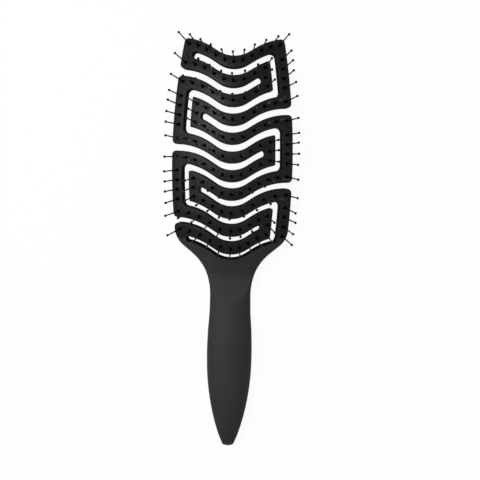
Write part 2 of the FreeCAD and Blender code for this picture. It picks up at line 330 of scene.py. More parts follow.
def outer_chain():
    left, right = meet(rib_top(1), -1, 0), meet(rib_top(1), 1, 0)
    shoulder, throat = shoulder_meet(), (THROAT_X, THROAT_Y)
    left_shoulder, left_throat = (-shoulder[0], shoulder[1]), (-THROAT_X, THROAT_Y)
    corners = [OUTER_CORNER, SLOT_END, SLOT_END, OUTER_CORNER]
    down, down_radii, low = walk(1, right[1], 0, BLOCK_INNER, open_slot_edges, corners)
    up, up_radii, high = walk(-1, shoulder[1], 0, BLOCK_INNER, open_slot_edges, corners)
    paths = [wave_path(rib_top(1), left[0], right[0])] + down
    paths += [side_path(1, 0, low, shoulder[1]), [shoulder, throat]]
    paths += [[throat, left_throat], [left_throat, left_shoulder]]
    paths += up + [side_path(-1, 0, high, left[1])]
    radii = [OUTER_CORNER] + down_radii + [SHOULDER_RADIUS, 0, 0, SHOULDER_RADIUS]
    return rounded_chain(paths, radii + up_radii + [OUTER_CORNER])


outline = outer_chain()
print("outline points:", len(outline))

# %% Winding slot
SLOT_TURN = 3.0
BLOCK_CORNER = 0.9
TIP_SLOT_END = 1.9
HANDLE_SLOT_END = 0.9


def pair_edges(pair):
    return [rib_top(2 * pair), rib_bottom(2 * pair + 1)]


def maze_chain():
    left, right = meet(rib_bottom(1), -1, BAR_WIDTH), meet(rib_bottom(1), 1, BAR_WIDTH)
    low_right, low_left = meet(HANDLE_EDGE_Y, 1, BAR_WIDTH), meet(HANDLE_EDGE_Y, -1, BAR_WIDTH)
    corners = [SLOT_TURN, BLOCK_CORNER, BLOCK_CORNER, SLOT_TURN]
    down, down_radii, low = walk(1, right[1], BAR_WIDTH, BLOCK_OUTER, pair_edges, corners)
    up, up_radii, high = walk(-1, low_left[1], BAR_WIDTH, BLOCK_OUTER, pair_edges, corners)
    up_radii[0], up_radii[-1] = HANDLE_SLOT_END, TIP_SLOT_END
    paths = [wave_path(rib_bottom(1), left[0], right[0])] + down
    paths.append(side_path(1, BAR_WIDTH, low, low_right[1]))
    paths.append(wave_path(HANDLE_EDGE_Y, low_right[0], low_left[0]))
    paths += up + [side_path(-1, BAR_WIDTH, high, left[1])]
    radii = [SLOT_TURN] + down_radii + [SLOT_TURN, HANDLE_SLOT_END] + up_radii + [TIP_SLOT_END]
    return rounded_chain(paths, radii)


maze = maze_chain()
print("maze points:", len(maze))

# %% [markdown]
# ## Places of the pins
# Each rib has a pin at its middle and evenly spaced ones out to both ends. The closed turns have one
# more between the two ribs, and the edge bars have a column of their own. The places come from the
# same formulas as the ribs, so every pin stands on its rib.

# %% Pin places
PIN_PITCH = 5.9
PIN_EDGE_MARGIN = 3.4
BAR_PIN_COUNT = 4
BAR_PIN_PITCH = 5.7


def last_pin_x(rib, side):
    width = side_x(rib_y(rib) + wave_rise(RIB_END_X))
    if rib > 1 and block_side(rib // 2) == side:
        return width - BLOCK_OUTER - BLOCK_WIDTH / 2
    return width - PIN_EDGE_MARGIN


def rib_pins(rib):
    places = [(0.0, rib_y(rib))]
    for side in (-1, 1):
        last_x = last_pin_x(rib, side)
        count = round(last_x / PIN_PITCH)
        xs = [side * last_x * step / count for step in range(1, count + 1)]
        places += [(x, rib_y(rib) + wave_rise(x)) for x in xs]
    if rib > 1 and rib % 2 == 0:
        side = block_side(rib // 2)
        x = side * last_pin_x(rib, side)
        places.append((x, (rib_y(rib) + rib_y(rib + 1)) / 2 + wave_rise(x)))
    return places


def bar_pins(pair):
    middle = (flex_y["flex_%d" % pair] + flex_y["flex_%d" % (pair + 1)]) / 2
    ys = [middle + BAR_PIN_PITCH * (step - (BAR_PIN_COUNT - 1) / 2) for step in range(BAR_PIN_COUNT)]
    return [(block_side(pair) * (side_x(y) - PIN_EDGE_MARGIN), y) for y in ys]


pin_groups = {"bristles_rib_%02d" % rib: rib_pins(rib) for rib in range(1, LAST_RIB + 1)}
pin_groups.update({"bristles_bar_%d" % pair: bar_pins(pair) for pair in PAIRS})
all_pins = [place for places in pin_groups.values() for place in places]
print("pins:", len(all_pins))

# %% [markdown]
# ## Triangles inside the outlines
# The front and back of the head are curved sheets with a winding outline and a hole for every pin.
# A constrained triangulation in plan keeps the outlines exact, and loose points inside give the
# sheet enough vertices to follow the dome. One big polygon with holes would have no points between
# its edges, and so it would stay flat there.

# %% Points of the plan
RIM = 0.6
RECESS_RADIUS = 1.05
RECESS_SIDES = 14
FILL_PITCH = 1.9
FILL_MARGIN = 0.8
SHARPEST_MITER = 0.5
TINY = 1e-9
PLAN_TOLERANCE = 1e-7


def inset(chain, distance, into_material):
    """Chain moved square to itself, towards the material."""
    before, after = np.roll(chain, 1, axis=0), np.roll(chain, -1, axis=0)
    first = chain - before
    second = after - chain
    first /= np.linalg.norm(first, axis=1)[:, None]
    second /= np.linalg.norm(second, axis=1)[:, None]
    square = np.stack([-first[:, 1] - second[:, 1], first[:, 0] + second[:, 0]], axis=1)
    square /= np.maximum(np.linalg.norm(square, axis=1), TINY)[:, None]
    miter = np.maximum(-first[:, 1] * square[:, 0] + first[:, 0] * square[:, 1], SHARPEST_MITER)
    area = np.sum(chain[:, 0] * after[:, 1] - after[:, 0] * chain[:, 1])
    sign = into_material * (1 if area > 0 else -1)
    return chain + square * (sign * distance / miter)[:, None]


def inside(points, chain):
    """Which points lie inside a closed chain."""
    x, y = points[:, 0][:, None], points[:, 1][:, None]
    a, b = chain, np.roll(chain, -1, axis=0)
    crosses = (a[:, 1] > y) != (b[:, 1] > y)
    slope = (b[:, 0] - a[:, 0]) / np.where(b[:, 1] == a[:, 1], TINY, b[:, 1] - a[:, 1])
    return (crosses & (x < a[:, 0] + (y - a[:, 1]) * slope)).sum(axis=1) % 2 == 1


def in_head(points, outer, inner):
    return inside(points, outer) & ~inside(points, inner)


def recess_ring(place, radius):
    angles = np.arange(RECESS_SIDES) * 2 * math.pi / RECESS_SIDES
    return np.array(place) + radius * np.stack([np.cos(angles), np.sin(angles)], axis=1)


def fill_points():
    """Points spread evenly over the ribs, clear of edges and pin holes."""
    rows = np.arange(THROAT_Y, tip_corner_y, FILL_PITCH * math.sqrt(3) / 2)
    columns = np.arange(-HEAD_HALF_WIDTH, HEAD_HALF_WIDTH, FILL_PITCH)
    shifts = [(i % 2) * FILL_PITCH / 2 for i in range(len(rows))]
    grid = np.array([(x + shift, y) for shift, y in zip(shifts, rows) for x in columns])
    grid = grid[in_head(grid, outline, maze)]
    edge = np.concatenate([outline, maze])
    keep = [np.min(np.hypot(*(edge - p).T)) > RIM + FILL_MARGIN for p in grid]
    grid = grid[keep]
    pins = np.array(all_pins)
    return grid[[np.min(np.hypot(*(pins - p).T)) > RECESS_RADIUS + FILL_MARGIN for p in grid]]


fill = fill_points()
print("points inside the ribs:", len(fill))

# %% Triangles
chains = [(outline, 1), (maze, -1)]
plan = [inset(chain, RIM, side) for chain, side in chains]
plan += [recess_ring(place, RECESS_RADIUS) for place in all_pins]
starts = np.concatenate([[0], np.cumsum([len(ring) for ring in plan])])
plan_points = np.concatenate(plan + [fill])
plan_edges = []
for ring, start in zip(plan, starts):
    plan_edges += [(int(start + i), int(start + (i + 1) % len(ring))) for i in range(len(ring))]
_, _, made_faces, made_from, _, _ = delaunay_2d_cdt(
    [Vector(p) for p in plan_points], plan_edges, [], 0, PLAN_TOLERANCE)
source = [ids[0] for ids in made_from]
triangles = np.array([[source[i] for i in face] for face in made_faces])
centres = plan_points[triangles].mean(axis=1)
triangles = triangles[in_head(centres, plan[0], plan[1])]
ring_of = np.full(len(plan_points), -1)
for number in range(len(all_pins)):
    ring_of[starts[number + 2]:starts[number + 3]] = number
rings = ring_of[triangles]
in_hole = (rings[:, 0] >= 0) & (rings[:, 0] == rings[:, 1]) & (rings[:, 1] == rings[:, 2])
print("triangles:", len(triangles), "in pin holes:", int(in_hole.sum()))

# %% [markdown]
# ## From plan to moulding
# A moulding is the triangulated sheet twice, front and back, joined by walls. The walls follow a
# profile of (inset, depth) steps, which gives the rounded front rim and the fine chamfer that shows
# as the parting line between front and cover. Each pin hole gets a sunk cup. Solidify and Bevel
# modifiers would do much the same, but a profile says exactly which face is coated and which is
# bare plastic, drawn darker than it is as painted shade on the walls and in the cups.

# %% Build a sheet
RECESS_DEPTH = 1.2
RECESS_FLOOR_RADIUS = 0.62
# Finish numbers: coated, and bare plastic drawn darker as painted shade on the walls and in the pin
# cups
COATED, BARE_SHADED = 0, 1


def counter_clockwise(face):
    a, b, c = plan_points[face]
    return (b[0] - a[0]) * (c[1] - a[1]) - (b[1] - a[1]) * (c[0] - a[0]) > 0


facing_up = [face if counter_clockwise(face) else face[::-1] for face in triangles]


def moulding(profile, cups, coated_steps):
    """Vertices, faces and finish numbers of one layer of the head, rim profile from front to back.

    The sheets and the first steps of the profile are coated; further walls and the cups get the dark
    bare finish, painted shade."""
    vertices, faces, finishes = [], [], []

    def add(points, depth):
        first = len(vertices)
        vertices.extend(on_head(x, y, depth) for x, y in points)
        return first

    def sheet(distance, depth):
        points = plan_points.copy()
        for (chain, side), start in zip(chains, starts):
            points[start:start + len(chain)] = inset(chain, distance, side)
        return add(points, depth)

    front = sheet(*profile[0])
    back = sheet(*profile[-1])
    for face, hole in zip(facing_up, in_hole):
        if not (cups and hole):
            faces.append([front + i for i in face])
        faces.append([back + i for i in reversed(face)])
    for (chain, side), start in zip(chains, starts):
        count = len(chain)
        levels = [front + start]
        levels += [add(inset(chain, distance, side), depth) for distance, depth in profile[1:-1]]
        levels.append(back + start)
        finishes += [COATED] * (len(faces) - len(finishes))
        for step, (upper, lower) in enumerate(zip(levels, levels[1:])):
            for i in range(count):
                j = (i + 1) % count
                faces.append([upper + i, lower + i, lower + j, upper + j])
                finishes.append(COATED if step < coated_steps else BARE_SHADED)
    if cups:
        for number, place in enumerate(all_pins):
            rim = front + starts[number + 2]
            floor = add(recess_ring(place, RECESS_FLOOR_RADIUS), RECESS_DEPTH)
            for i in range(RECESS_SIDES):
                j = (i + 1) % RECESS_SIDES
                faces.append([rim + j, rim + i, floor + i, floor + j])
            faces.append([floor + i for i in range(RECESS_SIDES)])
    finishes += [BARE_SHADED] * (len(faces) - len(finishes))
    return vertices, faces, finishes


print("triangles that face up:", len(facing_up))

# %% Rim profiles
PARTING_CHAMFER = 0.18
COVER_RIM = 0.5


def quarter_round(radius, depth, outward):
    """Steps of (inset, depth) round a rim, from the sheet down to the wall or back up to the sheet."""
    angles = [math.radians(a) for a in (0, 30, 60, 90)]
    if outward:
        return [(radius * (1 - math.sin(a)), depth + radius * (1 - math.cos(a))) for a in angles]
    return [(radius * (1 - math.cos(a)), depth - radius * (1 - math.sin(a))) for a in angles]


front_profile = quarter_round(RIM, 0, True)
RIM_STEPS = len(front_profile) - 1
front_profile += [(0, FRONT_THICKNESS - PARTING_CHAMFER), (PARTING_CHAMFER, FRONT_THICKNESS)]
cover_top = FRONT_THICKNESS + COVER_GAP
cover_profile = [(PARTING_CHAMFER, cover_top), (0, cover_top + PARTING_CHAMFER)]
cover_profile += quarter_round(COVER_RIM, HEAD_THICKNESS, False)
print("steps of the front rim:", len(front_profile), "of the cover's rim:", len(cover_profile))

# %% [markdown]
# ## Divide the head where it bends
# The real frame is one flexible moulding. Here it bends at six lines across the edge strips, so each
# layer is cut just past those lines. A section carries the short bending strips above it.

# %% Cut the strips
CUT_PAST = 0.5
STRIP_REACH = 3.0
line_names = ["flex_%d" % number for number in range(1, len(PAIRS) + 2)]
cut_y = [flex_y[name] + CUT_PAST for name in line_names]
section_tops = [tip_corner_y] + cut_y


def strip_frame(y):
    """A point of the edge strips at y and the direction along the head there."""
    point, normal = dome(side_x(y, BAR_WIDTH / 2), y)
    along = Vector((0, normal.z, -normal.y)).normalized()
    return point, along


def cut_strips(mesh):
    """Cuts the edge strips open at every bending line."""
    for y in cut_y:
        point, along = strip_frame(y)
        near = []
        for face in mesh.faces:
            centre = face.calc_center_median() / MM
            beside = abs(centre.x) > side_x(y, BAR_WIDTH + STRIP_REACH)
            if beside and abs(centre.y - y) < HEAD_THICKNESS:
                near.append(face)
        geometry = set(near)
        for face in near:
            geometry.update(face.edges)
            geometry.update(face.verts)
        cut = bmesh.ops.bisect_plane(mesh, geom=list(geometry), dist=TINY, plane_co=point * MM,
                                     plane_no=along)
        edges = [e for e in cut["geom_cut"] if isinstance(e, bmesh.types.BMEdge)]
        bmesh.ops.split_edges(mesh, edges=edges)


print("cuts across the strips, mm:", [round(y, 2) for y in cut_y])

# %% [markdown]
# ## The sections as objects
# Once the strips are cut, each layer falls apart into islands: the tip, and for every pair of ribs
# its maze piece and its edge bar. Islands that end at the same bending line belong to one section and
# become one object, and the open cut ends are closed so that each section is a solid skin.

# %% Section objects


def islands(mesh):
    """Groups of connected vertices."""
    left = set(mesh.verts)
    while left:
        stack, found = [left.pop()], []
        while stack:
            vertex = stack.pop()
            found.append(vertex)
            for edge in vertex.link_edges:
                other = edge.other_vert(vertex)
                if other in left:
                    left.remove(other)
                    stack.append(other)
        yield found


def linked(name, data):
    """Object of some data, linked into the scene."""
    item = bpy.data.objects.new(name, data)
    bpy.context.scene.collection.objects.link(item)
    return item


def mesh_object(name, vertices, faces):
    data = bpy.data.meshes.new(name)
    data.from_pydata(vertices, [], faces)
    data.update()
    return linked(name, data)


def divided(name, profile, cups, coated_steps):
    """The layer's sections from tip to root, as mesh objects; the root's own part is left out."""
    whole = bmesh.new()
    vertices, faces, finishes = moulding(profile, cups, coated_steps)
    layer = mesh_object(name, vertices, faces)
    layer.data.polygons.foreach_set("material_index", finishes)
    whole.from_mesh(layer.data)
    bpy.data.objects.remove(layer)
    bmesh.ops.recalc_face_normals(whole, faces=whole.faces)
    cut_strips(whole)
    loose = [vertex for vertex in whole.verts if not vertex.link_faces]
    bmesh.ops.delete(whole, geom=loose, context="VERTS")
    groups = {}
    for island in islands(whole):
        top = max(vertex.co.y for vertex in island) / MM
        number = min(range(len(section_tops)), key=lambda i: abs(section_tops[i] - top))
        groups.setdefault(number, []).extend(island)
    objects = []
    for number in range(len(PAIRS) + 1):
        part = bmesh.new()
        copies = {vertex: part.verts.new(vertex.co) for vertex in groups[number]}
        faces = {face for vertex in groups[number] for face in vertex.link_faces}
        for face in sorted(faces, key=lambda f: f.index):
            copy = part.faces.new([copies[vertex] for vertex in face.verts])
            copy.material_index = face.material_index
        part.verts.index_update()
        bmesh.ops.holes_fill(part, edges=[e for e in part.edges if e.is_boundary], sides=0)
        bmesh.ops.recalc_face_normals(part, faces=part.faces)
        data = bpy.data.meshes.new("%s_%d" % (name, number))
        part.to_mesh(data)
        part.free()
        objects.append(linked(data.name, data))
    whole.free()
    print(name, "sections:", [len(item.data.vertices) for item in objects])
    return objects


fronts = divided("front_skin", front_profile, True, RIM_STEPS)
covers = divided("cover_skin", cover_profile, False, len(cover_profile))

# %% [markdown]
# ## Handle
# The grip is a tapered oval that swells at the belly, thins at the neck and spreads into the root of
# the head. On the real brush it is one moulding with no seam, so it is drawn as one closed skin and
# not as a grip joined to a plate. First come its outlines in plan: the grip's widths at a few
# stations, the throat and shoulder of the root, and the edge of the slot where the root ends.

# %% Handle outline
SPREAD_Y = 34.0
BELLY_FROM_BUTT = 55.0
BUTT_ROUND = 1.6
# Distance from the butt end, half width, half thickness and height of the middle of the grip
GRIP_STATIONS = [
    (1.6, 3.6, 1.9, 6.5),
    (6.3, 5.6, 3.1, 6.7),
    (12.3, 7.6, 4.3, 6.9),
    (25.5, 10.8, 6.2, 7.2),
    (40.0, 12.85, 7.2, 7.2),
    (55.0, 13.45, 7.6, 7.0),
    (70.0, 13.05, 6.8, 6.8),
    (80.0, 12.35, 5.9, 6.7),
    (89.0, 12.15, 5.0, 6.7),
]


def smooth_through(places, values):
    """Curve through the stations with the slopes of its neighbours."""
    places, values = np.array(places), np.array(values)
    slopes = np.gradient(values, places)

    def at(place):
        i = int(np.clip(np.searchsorted(places, place) - 1, 0, len(places) - 2))
        width = places[i + 1] - places[i]
        t = (place - places[i]) / width
        a = values[i] * (1 + 2 * t) * (1 - t) ** 2 + slopes[i] * width * t * (1 - t) ** 2
        b = values[i + 1] * t * t * (3 - 2 * t) + slopes[i + 1] * width * t * t * (t - 1)
        return a + b

    return at


station_places, *station_sizes = zip(*GRIP_STATIONS)
grip_half_width, grip_half_height, grip_middle = [
    smooth_through(station_places, sizes) for sizes in station_sizes]


def right_outline():
    """Right side from the neck round throat and shoulder up to the last bending line."""
    corner = shoulder_meet()
    neck = [(THROAT_X, SPREAD_Y), (THROAT_X, THROAT_Y)]
    flare = [(THROAT_X, THROAT_Y), corner]
    side = side_path(1, 0, corner[1], WIDEST_Y)
    chain = rounded_chain([neck, flare, side], [THROAT_RADIUS, SHOULDER_RADIUS, 0], closed=False)
    below = chain[chain[:, 1] < cut_y[-1]]
    return np.concatenate([below, [(np.interp(cut_y[-1], chain[:, 1], chain[:, 0]), cut_y[-1])]])


def slot_edge(end_x):
    """Upper edge of the root from left to right: strip end, slot edge, strip end."""
    top = cut_y[-1]
    left, right = meet(HANDLE_EDGE_Y, -1, BAR_WIDTH), meet(HANDLE_EDGE_Y, 1, BAR_WIDTH)
    inner = side_x(top, BAR_WIDTH)
    paths = [
        [(-end_x, top), (-inner, top)],
        side_path(-1, BAR_WIDTH, top, left[1]),
        wave_path(HANDLE_EDGE_Y, left[0], right[0]),
        side_path(1, BAR_WIDTH, right[1], top),
        [(inner, top), (end_x, top)],
    ]
    return rounded_chain(paths, [0, HANDLE_SLOT_END, HANDLE_SLOT_END, 0, 0], closed=False)


def at_shares(chain, shares):
    """Points of a chain at shares of its length."""
    lengths = run_lengths(chain)
    return points_at(chain, lengths, np.array(shares) * lengths[-1])


print("half width of the grip at the belly, mm:", round(float(grip_half_width(BELLY_FROM_BUTT)), 2))

# %% [markdown]
# ## Rings of the handle
# The skin is made of rings from the butt end to the slot. Up to the neck a ring is a plain oval; past
# it the rings bend until the last one runs along the edge of the slot. Meanwhile the section turns
# from a fat oval to a thin plate that follows the dome. A loft like this keeps the highlight
# unbroken from grip to head, which a join of two meshes would not.

# %% Rows of the handle
ACROSS = 96
BUTT_ROWS = 9
FIRST_BUTT_ANGLE = 0.12
GRIP_ROWS = 75
across_shares = (1 - np.cos((np.arange(ACROSS) + 0.5) * math.pi / ACROSS)) / 2
sides = right_outline()
edge = slot_edge(sides[-1][0])
edge_points = at_shares(edge, across_shares)


def root_row(share):
    """Plan points of one bent row of the root, between the neck line and the slot edge."""
    right = at_shares(sides, [share])[0]
    left = right * (-1, 1)
    flat = np.stack([(2 * across_shares - 1) * THROAT_X, np.full(ACROSS, SPREAD_Y)], axis=1)
    row = flat * (1 - share) + edge_points * share
    right_shift = right - (np.array([THROAT_X, SPREAD_Y]) * (1 - share) + edge[-1] * share)
    left_shift = left - (np.array([-THROAT_X, SPREAD_Y]) * (1 - share) + edge[0] * share)
    return row + np.outer(1 - across_shares, left_shift) + np.outer(across_shares, right_shift)


def grip_rows():
    """Plan points of the plain rows of the grip, closer together towards the butt end."""
    butt_angles = np.linspace(FIRST_BUTT_ANGLE, math.pi / 2, BUTT_ROWS)
    butt = [BUTT_ROUND * (1 - math.cos(a)) for a in butt_angles]
    body = list(np.linspace(BUTT_ROUND, SPREAD_Y + BELLY_FROM_BUTT, GRIP_ROWS)[1:-1])
    rows = []
    for place in butt + body:
        half = grip_half_width(max(place, BUTT_ROUND))
        if place < BUTT_ROUND:
            half *= math.sqrt(1 - (1 - place / BUTT_ROUND) ** 2)
        ys = np.full(ACROSS, place - BELLY_FROM_BUTT)
        rows.append(np.stack([(2 * across_shares - 1) * half, ys], axis=1))
    return rows


print("rows of the grip:", len(grip_rows()))

# %% Front and back of a row
ROOT_RIM = 0.6
ROOT_BEVEL = 0.45
MERGE_START_Y = SPREAD_Y - 6
MERGE_END_Y = 52.0
THINNING_DELAY = 1.8


def ease(value):
    value = min(max(value, 0.0), 1.0)
    return value * value * (3 - 2 * value)


def skin_pair(row, slim):
    """Front and back points over a plan row. slim thins the row where the slot edge is bevelled."""
    lengths = run_lengths(row)
    half_row = lengths[-1] / 2
    margin = np.minimum(lengths, lengths[-1] - lengths) + np.hypot(*(row[1] - row[0])) / 4
    front, back = [], []
    for (x, y), room, thin in zip(row, margin, slim):
        place = y + BELLY_FROM_BUTT
        station = min(max(place, BUTT_ROUND), station_places[-1])
        merge = ease((y - MERGE_START_Y) / (MERGE_END_Y - MERGE_START_Y))
        half_grip = grip_half_height(station)
        if place < BUTT_ROUND:
            half_grip *= math.sqrt(max(0.0, 1 - (1 - place / BUTT_ROUND) ** 2))
        thinning = merge ** THINNING_DELAY
        half = half_grip * (1 - thinning) + HEAD_THICKNESS / 2 * thinning
        width = math.exp(math.log(half_row) * (1 - merge) + math.log(ROOT_RIM) * merge)
        drop = half * (1 - merge) + ROOT_RIM * merge
        share = min(1.0, room / width)
        local = half - drop + drop * math.sqrt(1 - (1 - share) ** 2) - thin * ROOT_BEVEL
        point, normal = dome(x, y) if y > 0 else (Vector((x, y, 0)), Vector((0, 0, 1)))
        plate_middle = point - normal * (HEAD_THICKNESS / 2)
        middle = Vector((x, y, grip_middle(station))) * (1 - thinning) + plate_middle * thinning
        direction = (Vector((0, 0, 1)) * (1 - merge) + normal * merge).normalized()
        front.append(middle + direction * local)
        low = middle - direction * local
        low.z = max(low.z, 0.0)
        back.append(low)
    return front, back


print("the grip turns into a plate between", MERGE_START_Y, "and", MERGE_END_Y, "mm")

# %% Handle skin
# Rows at the root's slot edge take the dark bare finish: painted shade along the slot edge
BARE_SHADED_STEPS = 2
# Shares of the way from neck to slot: many even rows, then four close ones for the bevelled edge
EVEN_ROWS = 44
LAST_EVEN_SHARE = 0.955
BEVEL_SHARES = [0.975, 0.986, 0.994, 1.0]
BEVEL_SLIM = [0, 0, 0.3, 1.0]
SLOT_MARGIN = 0.2


def handle_mesh():
    level = np.zeros(ACROSS)
    on_slot = np.array([1.0 if y < cut_y[-1] - SLOT_MARGIN else 0.0 for x, y in edge_points])
    rows = [(row, level) for row in grip_rows()]
    rows += [(root_row(share), level) for share in np.linspace(0, LAST_EVEN_SHARE, EVEN_ROWS)]
    rows += [(root_row(share), on_slot * slim) for share, slim in zip(BEVEL_SHARES, BEVEL_SLIM)]
    walled = np.concatenate([on_slot, on_slot[::-1]]) > 0
    vertices, faces, finishes = [], [], []
    for row, slim in rows:
        front, back = skin_pair(row, slim)
        vertices.extend(front + back[::-1])
    ring = 2 * ACROSS
    for number in range(len(rows) - 1):
        a, b = number * ring, (number + 1) * ring
        for i in range(ring):
            j = (i + 1) % ring
            faces.append([a + i, a + j, b + j, b + i])
            # Slot-edge rows take the dark bare finish, painted shade
            bare_and_shaded = number >= len(rows) - 1 - BARE_SHADED_STEPS and walled[i] and walled[j]
            finishes.append(BARE_SHADED if bare_and_shaded else COATED)
    last = (len(rows) - 1) * ring
    for first in (0, last):
        for i in range(ACROSS - 1):
            quad = [first + i, first + i + 1, first + ring - 2 - i, first + ring - 1 - i]
            faces.append(quad if first else quad[::-1])
            finishes.append(BARE_SHADED if first and walled[i] and walled[i + 1] else COATED)
    item = mesh_object("handle_skin", [v * MM for v in vertices], faces)
    item.data.polygons.foreach_set("material_index", finishes)
    return item


handle = handle_mesh()
print("handle vertices:", len(handle.data.vertices))

# %% [markdown]
# ## Pins
# A pin is a thin tapered nylon shaft with a ball at its tip, standing in the sunk cup of its hole.
# It is a turned profile, so each is made as rings round its axis. Copies of one pin would be less
# work, but real pins never stand perfectly: each one leans a little its own way, from a seeded draw,
# so the rows look combed and not stamped.

# %% Pins
PIN_LENGTH = 15.5
PIN_SIDES = 14
LEAN_DEG = 1.8
SPLAY_ACROSS = 1.05
SPLAY_ALONG = 1.4
LENGTH_SPREAD = 0.25
BALL_RADIUS = 0.8
BALL_STEPS = 9
BALL_TOP_ANGLE = math.pi - 0.25
NECK_RADIUS = 0.36
NECK_RUN = 0.6
ROOT_RADIUS = 0.52
ROOT_TOP = 0.4
# (radius, height) of the taper between root and neck
TAPER = [(0.47, 3.0), (0.42, 8.0)]
SEED = 7


def pin_profile(length):
    """(radius, height) steps from inside the cup to the top of the ball."""
    ball_z = length - BALL_RADIUS
    steps = [(ROOT_RADIUS, -RECESS_DEPTH), (ROOT_RADIUS, ROOT_TOP)] + TAPER
    start = math.asin(NECK_RADIUS / BALL_RADIUS)
    neck_z = ball_z - BALL_RADIUS * math.cos(start)
    steps.append((NECK_RADIUS, neck_z - NECK_RUN))
    for angle in np.linspace(start, BALL_TOP_ANGLE, BALL_STEPS):
        steps.append((BALL_RADIUS * math.sin(angle), ball_z - BALL_RADIUS * math.cos(angle)))
    return steps


def add_pin(place, draw, vertices, faces):
    point, normal = dome(*place)
    lean = Vector((draw.uniform(-1, 1), draw.uniform(-1, 1), 0)) * math.tan(math.radians(LEAN_DEG))
    axis = (Vector((normal.x * SPLAY_ACROSS, normal.y * SPLAY_ALONG, normal.z)) + lean).normalized()
    turn = axis.to_track_quat("Z", "Y").to_matrix()
    length = PIN_LENGTH + draw.uniform(-LENGTH_SPREAD, LENGTH_SPREAD)
    profile = pin_profile(length)
    first = len(vertices)
    for radius, height in profile:
        for side in range(PIN_SIDES):
            angle = 2 * math.pi * side / PIN_SIDES
            local = Vector((radius * math.cos(angle), radius * math.sin(angle), height))
            vertices.append((point + turn @ local) * MM)
    for level in range(len(profile) - 1):
        for side in range(PIN_SIDES):
            a = first + level * PIN_SIDES + side
            b = first + level * PIN_SIDES + (side + 1) % PIN_SIDES
            faces.append([a, b, b + PIN_SIDES, a + PIN_SIDES])
    top = first + (len(profile) - 1) * PIN_SIDES
    faces.append([top + side for side in range(PIN_SIDES)])
    faces.append([first + side for side in reversed(range(PIN_SIDES))])


draw = random.Random(SEED)
pins = {}
for node, places in pin_groups.items():
    vertices, faces = [], []
    for place in places:
        add_pin(place, draw, vertices, faces)
    pins[node] = mesh_object(node.replace("bristles", "pins"), vertices, faces)
print("pin groups:", len(pins))

# %% [markdown]
# ## Helpers for the finishes
# Every finish starts from a Principled BSDF. Colours are written as sRGB hex, as a colour picker
# shows them, and turned to linear in one place. One function adds any node. The patterns are noise
# in object space with a size in millimetres, so they need no UV map and stay true to scale.

# %% Material helpers
PER_MM = 1 / MM
TONE_SPAN = (0.35, 0.65)


def linear(hex_colour):
    """Linear RGBA of an sRGB hex colour."""
    channels = [int(hex_colour[i:i + 2], 16) / 255 for i in (1, 3, 5)]
    light = [c / 12.92 if c <= 0.04045 else ((c + 0.055) / 1.055) ** 2.4 for c in channels]
    return (*light, 1.0)


def set_values(node, values):
    for name, value in values.items():
        node.inputs[name].default_value = value


def add_node(tree, kind, links=(), values=None, **settings):
    """Adds a node, sets its socket values and properties, and links (from node, output, input)."""
    node = tree.nodes.new(kind)
    for name, value in settings.items():
        setattr(node, name, value)
    set_values(node, values or {})
    for source_node, output, name in links:
        tree.links.new(source_node.outputs[output], node.inputs[name])
    return node


def new_material(name, patch_mm, dark, light):
    """Material whose colour drifts between two tones over patches of about patch_mm."""
    material = bpy.data.materials.new(name)
    material.use_nodes = True
    tree = material.node_tree
    shader = tree.nodes["Principled BSDF"]
    place = add_node(tree, "ShaderNodeTexCoord")
    noise = add_node(tree, "ShaderNodeTexNoise", [(place, "Object", "Vector")],
                     {"Scale": PER_MM / patch_mm, "Detail": 3.0, "Roughness": 0.55})
    ramp = add_node(tree, "ShaderNodeValToRGB", [(noise, "Fac", "Fac")])
    for element, position, tone in zip(ramp.color_ramp.elements, TONE_SPAN, (dark, light)):
        element.position = position
        element.color = linear(tone)
    tree.links.new(ramp.outputs["Color"], shader.inputs["Base Color"])
    return material, tree, shader, place, noise


def grained(tree, place, shader, size_mm, strength, depth_mm):
    """Fine grain as bump. Real grain is finer than a tenth of a millimetre and wouldn't show, so
    size_mm is drawn coarser."""
    grain = add_node(tree, "ShaderNodeTexNoise", [(place, "Object", "Vector")],
                     {"Scale": PER_MM / size_mm, "Detail": 2.0, "Roughness": 0.6})
    bump = add_node(tree, "ShaderNodeBump", [(grain, "Fac", "Height")],
                    {"Strength": strength, "Distance": depth_mm * MM})
    tree.links.new(bump.outputs["Normal"], shader.inputs["Normal"])


print("grey #808080 in linear light:", round(linear("#808080")[0], 3))

# %% [markdown]
# ## Finishes
# Three plastics. The grip and the frame have a soft-touch coating, a rubbery paint that scatters
# light softly; the frame's coat is drawn darker than the grip's, as painted shade of its pins. The
# coating ends at the slot walls, the pin cups and the root's slot edge, where bare plastic shows,
# drawn darker still as painted shade in the slots and holes. The cover behind is bare moulded
# plastic with a spark-eroded grain. The pins are smooth glossy nylon.
# All are nearly black, so gloss tells them apart more than colour. Their specular levels are low,
# because the white surroundings show in every reflection and would turn the black plastic grey.

# %% Finishes
COAT_PATCH_MM = 9.0
MOULDED_PATCH_MM = 6.0
NYLON_PATCH_MM = 4.0
COAT_ROUGHNESS_SPREAD = 0.05


def soft_touch(name, dark, light, roughness, shine):
    """Soft-touch coated plastic: sprayed rubbery paint, matte, with broad soft highlights."""
    material, tree, shader, place, noise = new_material(name, COAT_PATCH_MM, dark, light)
    spread = add_node(tree, "ShaderNodeMapRange", [(noise, "Fac", "Value")],
                      {"To Min": roughness - COAT_ROUGHNESS_SPREAD,
                       "To Max": roughness + COAT_ROUGHNESS_SPREAD})
    tree.links.new(spread.outputs["Result"], shader.inputs["Roughness"])
    set_values(shader, {"IOR": 1.5, "Specular IOR Level": shine,
                        "Sheen Weight": 0.04, "Sheen Roughness": 0.4})
    grained(tree, place, shader, size_mm=0.45, strength=0.10, depth_mm=0.04)
    return material


